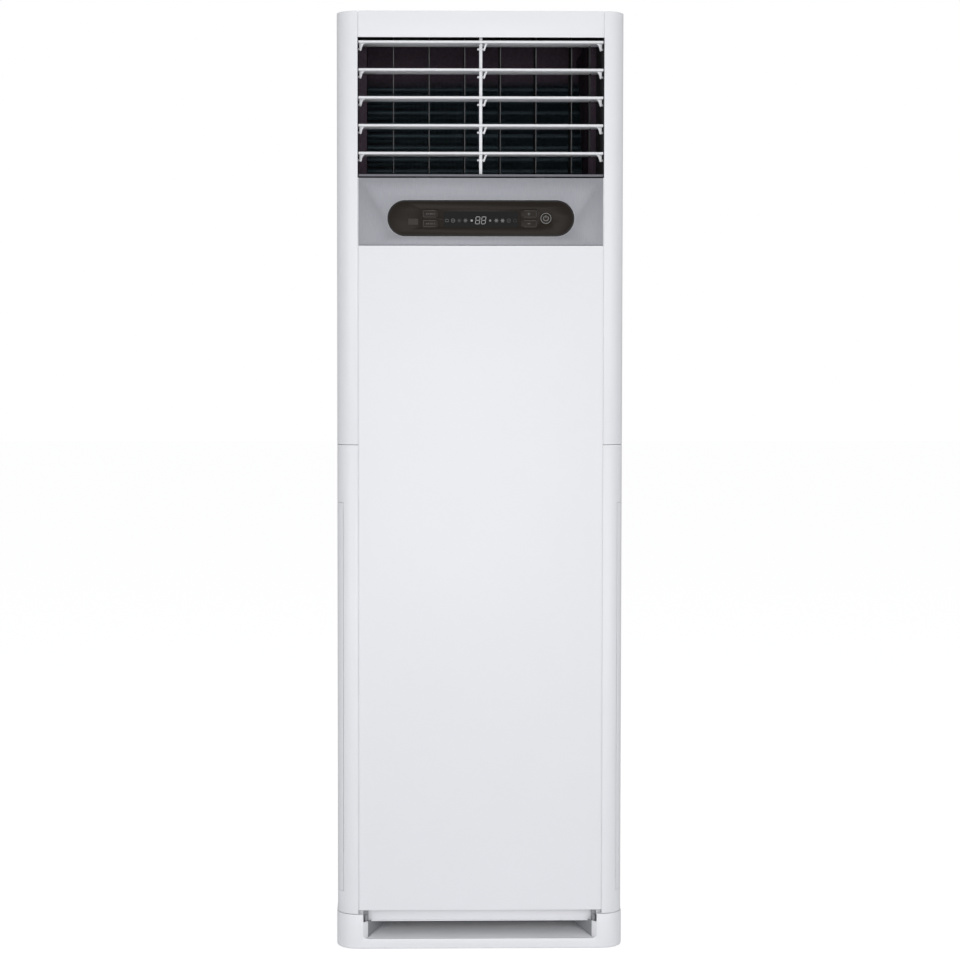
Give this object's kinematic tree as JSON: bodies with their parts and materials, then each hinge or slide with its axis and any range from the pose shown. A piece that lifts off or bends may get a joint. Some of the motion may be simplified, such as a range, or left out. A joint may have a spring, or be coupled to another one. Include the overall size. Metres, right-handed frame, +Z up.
{
  "type": "floor standing air conditioner",
  "caption": "Tall floor standing air conditioner cabinet with louvred top outlet, display band, hinged front panel, low front inlet and side intake grilles.",
  "frame": {"origin": "centre of the footprint, on the floor under the feet", "axes": "+Z up the cabinet, +Y from the front towards the back, +X to the right seen from the front"},
  "size_m": [0.54, 0.4, 1.7569],
  "materials": {
    "shell_white": "satin moulded",
    "louvre_white": "satin moulded",
    "silver_fascia": "brushed silver paint",
    "smoked_lens": "gloss",
    "key_black": "gloss",
    "circuit_green": "lacquered",
    "duct_grey": "moulded",
    "vane_grey": "moulded",
    "motor_steel": "plated",
    "galvanised_steel": "zinc coated",
    "fin_aluminium": "coated fins",
    "pipe_copper": "drawn",
    "wheel_black": "moulded",
    "foot_rubber": "moulded",
    "pan_white": "moulded",
    "hose_grey": "moulded",
    "terminal_black": "moulded",
    "filter_screen": "fine mesh"
  },
  "bodies": {
    "cabinet": {"base": "shell_white", "top_cover": "shell_white", "centre_post": "louvre_white", "display_panel": "silver_fascia", "display_lens": "smoked_lens", "display_board": "circuit_green", "outlet_duct": "duct_grey", "vane_motor": "motor_steel", "rear_panel": "galvanised_steel", "rear_pipe_plate": "galvanised_steel", "front_crossbar": "galvanised_steel", "divider_deck": "galvanised_steel", "blower_housing": "galvanised_steel", "inlet_ring": "galvanised_steel", "fan_motor": "motor_steel", "motor_bracket": "galvanised_steel", "evaporator_core": "fin_aluminium", "coil_plate_left": "galvanised_steel", "coil_plate_right": "galvanised_steel", "drain_pan": "pan_white", "drain_hose": "hose_grey", "gas_pipe": "pipe_copper", "liquid_pipe": "pipe_copper", "electrical_box": "pan_white", "main_board": "circuit_green", "terminal_block": "terminal_black", "foot_1": "foot_rubber", "foot_2": "foot_rubber", "foot_3": "foot_rubber", "foot_4": "foot_rubber", "upper_side_left": "shell_white", "lower_side_left": "shell_white", "upper_side_right": "shell_white", "lower_side_right": "shell_white"},
    "front_panel": {"front_panel": "shell_white"},
    "grille_left": {"side_grille_left": "shell_white", "filter_left": "filter_screen"},
    "grille_right": {"side_grille_right": "shell_white", "filter_right": "filter_screen"},
    "key_mode": {"key_mode": "key_black"},
    "key_fan_speed": {"key_fan_speed": "key_black"},
    "key_up": {"key_up": "key_black"},
    "key_down": {"key_down": "key_black"},
    "key_power": {"key_power": "key_black"},
    "blade_1": {"blade_1": "louvre_white"},
    "blade_2": {"blade_2": "louvre_white"},
    "blade_3": {"blade_3": "louvre_white"},
    "blade_4": {"blade_4": "louvre_white"},
    "blade_5": {"blade_5": "louvre_white"},
    "blade_link": {"blade_link": "duct_grey"},
    "vane_1": {"vane_1": "vane_grey"},
    "vane_2": {"vane_2": "vane_grey"},
    "vane_3": {"vane_3": "vane_grey"},
    "vane_4": {"vane_4": "vane_grey"},
    "vane_5": {"vane_5": "vane_grey"},
    "vane_6": {"vane_6": "vane_grey"},
    "vane_link": {"vane_link": "vane_grey"},
    "vane_crank": {"vane_crank": "vane_grey"},
    "blower_rotor": {"blower_wheel": "wheel_black", "fan_shaft": "motor_steel"}
  },
  "joints": [
    {"name": "front_panel_swing", "type": "hinge", "parent": "cabinet", "child": "front_panel", "pos_m": [0, -0.1985, 1.3229], "axis": [-1, 0, 0], "range_deg": [0, 20]},
    {"name": "grille_left_pull", "type": "slide", "parent": "cabinet", "child": "grille_left", "axis": [-1, 0, 0], "range_m": [0, 0.06]},
    {"name": "grille_right_pull", "type": "slide", "parent": "cabinet", "child": "grille_right", "axis": [1, 0, 0], "range_m": [0, 0.06]},
    {"name": "key_mode_press", "type": "slide", "parent": "cabinet", "child": "key_mode", "axis": [0, 1, 0], "range_m": [0, 0.0008], "stiffness_N_per_m": 400},
    {"name": "key_fan_speed_press", "type": "slide", "parent": "cabinet", "child": "key_fan_speed", "axis": [0, 1, 0], "range_m": [0, 0.0008], "stiffness_N_per_m": 400},
    {"name": "key_up_press", "type": "slide", "parent": "cabinet", "child": "key_up", "axis": [0, 1, 0], "range_m": [0, 0.0008], "stiffness_N_per_m": 400},
    {"name": "key_down_press", "type": "slide", "parent": "cabinet", "child": "key_down", "axis": [0, 1, 0], "range_m": [0, 0.0008], "stiffness_N_per_m": 400},
    {"name": "key_power_press", "type": "slide", "parent": "cabinet", "child": "key_power", "axis": [0, 1, 0], "range_m": [0, 0.0008], "stiffness_N_per_m": 400},
    {"name": "blade_1_tilt", "type": "hinge", "parent": "cabinet", "child": "blade_1", "pos_m": [0, -0.1835, 1.6879], "axis": [1, 0, 0], "range_deg": [-25, 25]},
    {"name": "blade_2_tilt", "type": "hinge", "parent": "cabinet", "child": "blade_2", "pos_m": [0, -0.1835, 1.6365], "axis": [1, 0, 0], "range_deg": [-25, 25]},
    {"name": "blade_3_tilt", "type": "hinge", "parent": "cabinet", "child": "blade_3", "pos_m": [0, -0.1835, 1.5851], "axis": [1, 0, 0], "range_deg": [-25, 25]},
    {"name": "blade_4_tilt", "type": "hinge", "parent": "cabinet", "child": "blade_4", "pos_m": [0, -0.1835, 1.5337], "axis": [1, 0, 0], "range_deg": [-25, 25]},
    {"name": "blade_5_tilt", "type": "hinge", "parent": "cabinet", "child": "blade_5", "pos_m": [0, -0.1835, 1.4823], "axis": [1, 0, 0], "range_deg": [-25, 25]},
    {"name": "blade_link_hang", "type": "hinge", "parent": "blade_1", "child": "blade_link", "pos_m": [0.2068, -0.1495, 1.6999], "axis": [1, 0, 0], "range_deg": [-25, 25]},
    {"name": "vane_1_turn", "type": "hinge", "parent": "cabinet", "child": "vane_1", "pos_m": [-0.16225, -0.102, 1.6], "axis": [0, 0, 1], "range_deg": [-30, 30]},
    {"name": "vane_2_turn", "type": "hinge", "parent": "cabinet", "child": "vane_2", "pos_m": [-0.09495, -0.102, 1.6], "axis": [0, 0, 1], "range_deg": [-30, 30]},
    {"name": "vane_3_turn", "type": "hinge", "parent": "cabinet", "child": "vane_3", "pos_m": [-0.02765, -0.102, 1.6], "axis": [0, 0, 1], "range_deg": [-30, 30]},
    {"name": "vane_4_turn", "type": "hinge", "parent": "cabinet", "child": "vane_4", "pos_m": [0.03965, -0.102, 1.6], "axis": [0, 0, 1], "range_deg": [-30, 30]},
    {"name": "vane_5_turn", "type": "hinge", "parent": "cabinet", "child": "vane_5", "pos_m": [0.10695, -0.102, 1.6], "axis": [0, 0, 1], "range_deg": [-30, 30]},
    {"name": "vane_6_turn", "type": "hinge", "parent": "cabinet", "child": "vane_6", "pos_m": [0.17425, -0.102, 1.6], "axis": [0, 0, 1], "range_deg": [-30, 30]},
    {"name": "vane_link_swing", "type": "hinge", "parent": "vane_1", "child": "vane_link", "pos_m": [-0.16225, -0.08, 1.46], "axis": [0, 0, 1], "range_deg": [-30, 30]},
    {"name": "vane_crank_turn", "type": "hinge", "parent": "cabinet", "child": "vane_crank", "pos_m": [0.202, -0.102, 1.456], "axis": [0, 0, 1], "range_deg": [-30, 30]},
    {"name": "blower_spin", "type": "hinge", "parent": "cabinet", "child": "blower_rotor", "pos_m": [-0.02, 0.1, 0.5], "axis": [0, 1, 0], "continuous": true}
  ],
  "couplings": [
    {"joint": "blade_2_tilt", "follows": "blade_1_tilt", "ratio": 1},
    {"joint": "blade_3_tilt", "follows": "blade_1_tilt", "ratio": 1},
    {"joint": "blade_4_tilt", "follows": "blade_1_tilt", "ratio": 1},
    {"joint": "blade_5_tilt", "follows": "blade_1_tilt", "ratio": 1},
    {"joint": "blade_link_hang", "follows": "blade_1_tilt", "ratio": -1},
    {"joint": "vane_2_turn", "follows": "vane_1_turn", "ratio": 1},
    {"joint": "vane_3_turn", "follows": "vane_1_turn", "ratio": 1},
    {"joint": "vane_4_turn", "follows": "vane_1_turn", "ratio": 1},
    {"joint": "vane_5_turn", "follows": "vane_1_turn", "ratio": 1},
    {"joint": "vane_6_turn", "follows": "vane_1_turn", "ratio": 1},
    {"joint": "vane_link_swing", "follows": "vane_1_turn", "ratio": -1},
    {"joint": "vane_crank_turn", "follows": "vane_1_turn", "ratio": 1}
  ]
}
